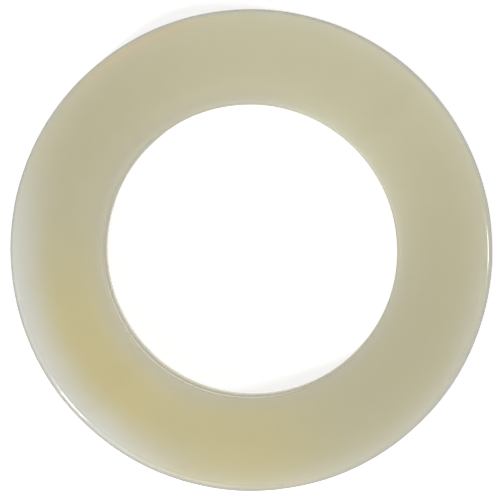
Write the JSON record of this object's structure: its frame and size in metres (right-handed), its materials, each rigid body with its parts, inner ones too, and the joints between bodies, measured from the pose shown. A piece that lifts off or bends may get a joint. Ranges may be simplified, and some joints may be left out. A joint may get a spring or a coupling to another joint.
{
  "type": "flat washer",
  "caption": "Flat ring washer in natural translucent nylon, with a round through-hole for a bolt, flat bearing faces and softly rounded edges.",
  "frame": {"origin": "centre of the through-hole on the lower bearing face, which is the centre of the bottom of the bounding box", "axes": "+Z along the hole's axis, out of the upper bearing face, the one whose edges the punch drew over; the ring lies in the XY plane, where any turn is alike"},
  "size_m": [0.028, 0.028, 0.0025],
  "materials": {
    "natural_nylon": "natural uncoloured nylon, milky and slightly translucent, smooth with a soft satin gloss"
  },
  "bodies": {
    "root": {"washer": "natural_nylon"}
  },
  "joints": []
}
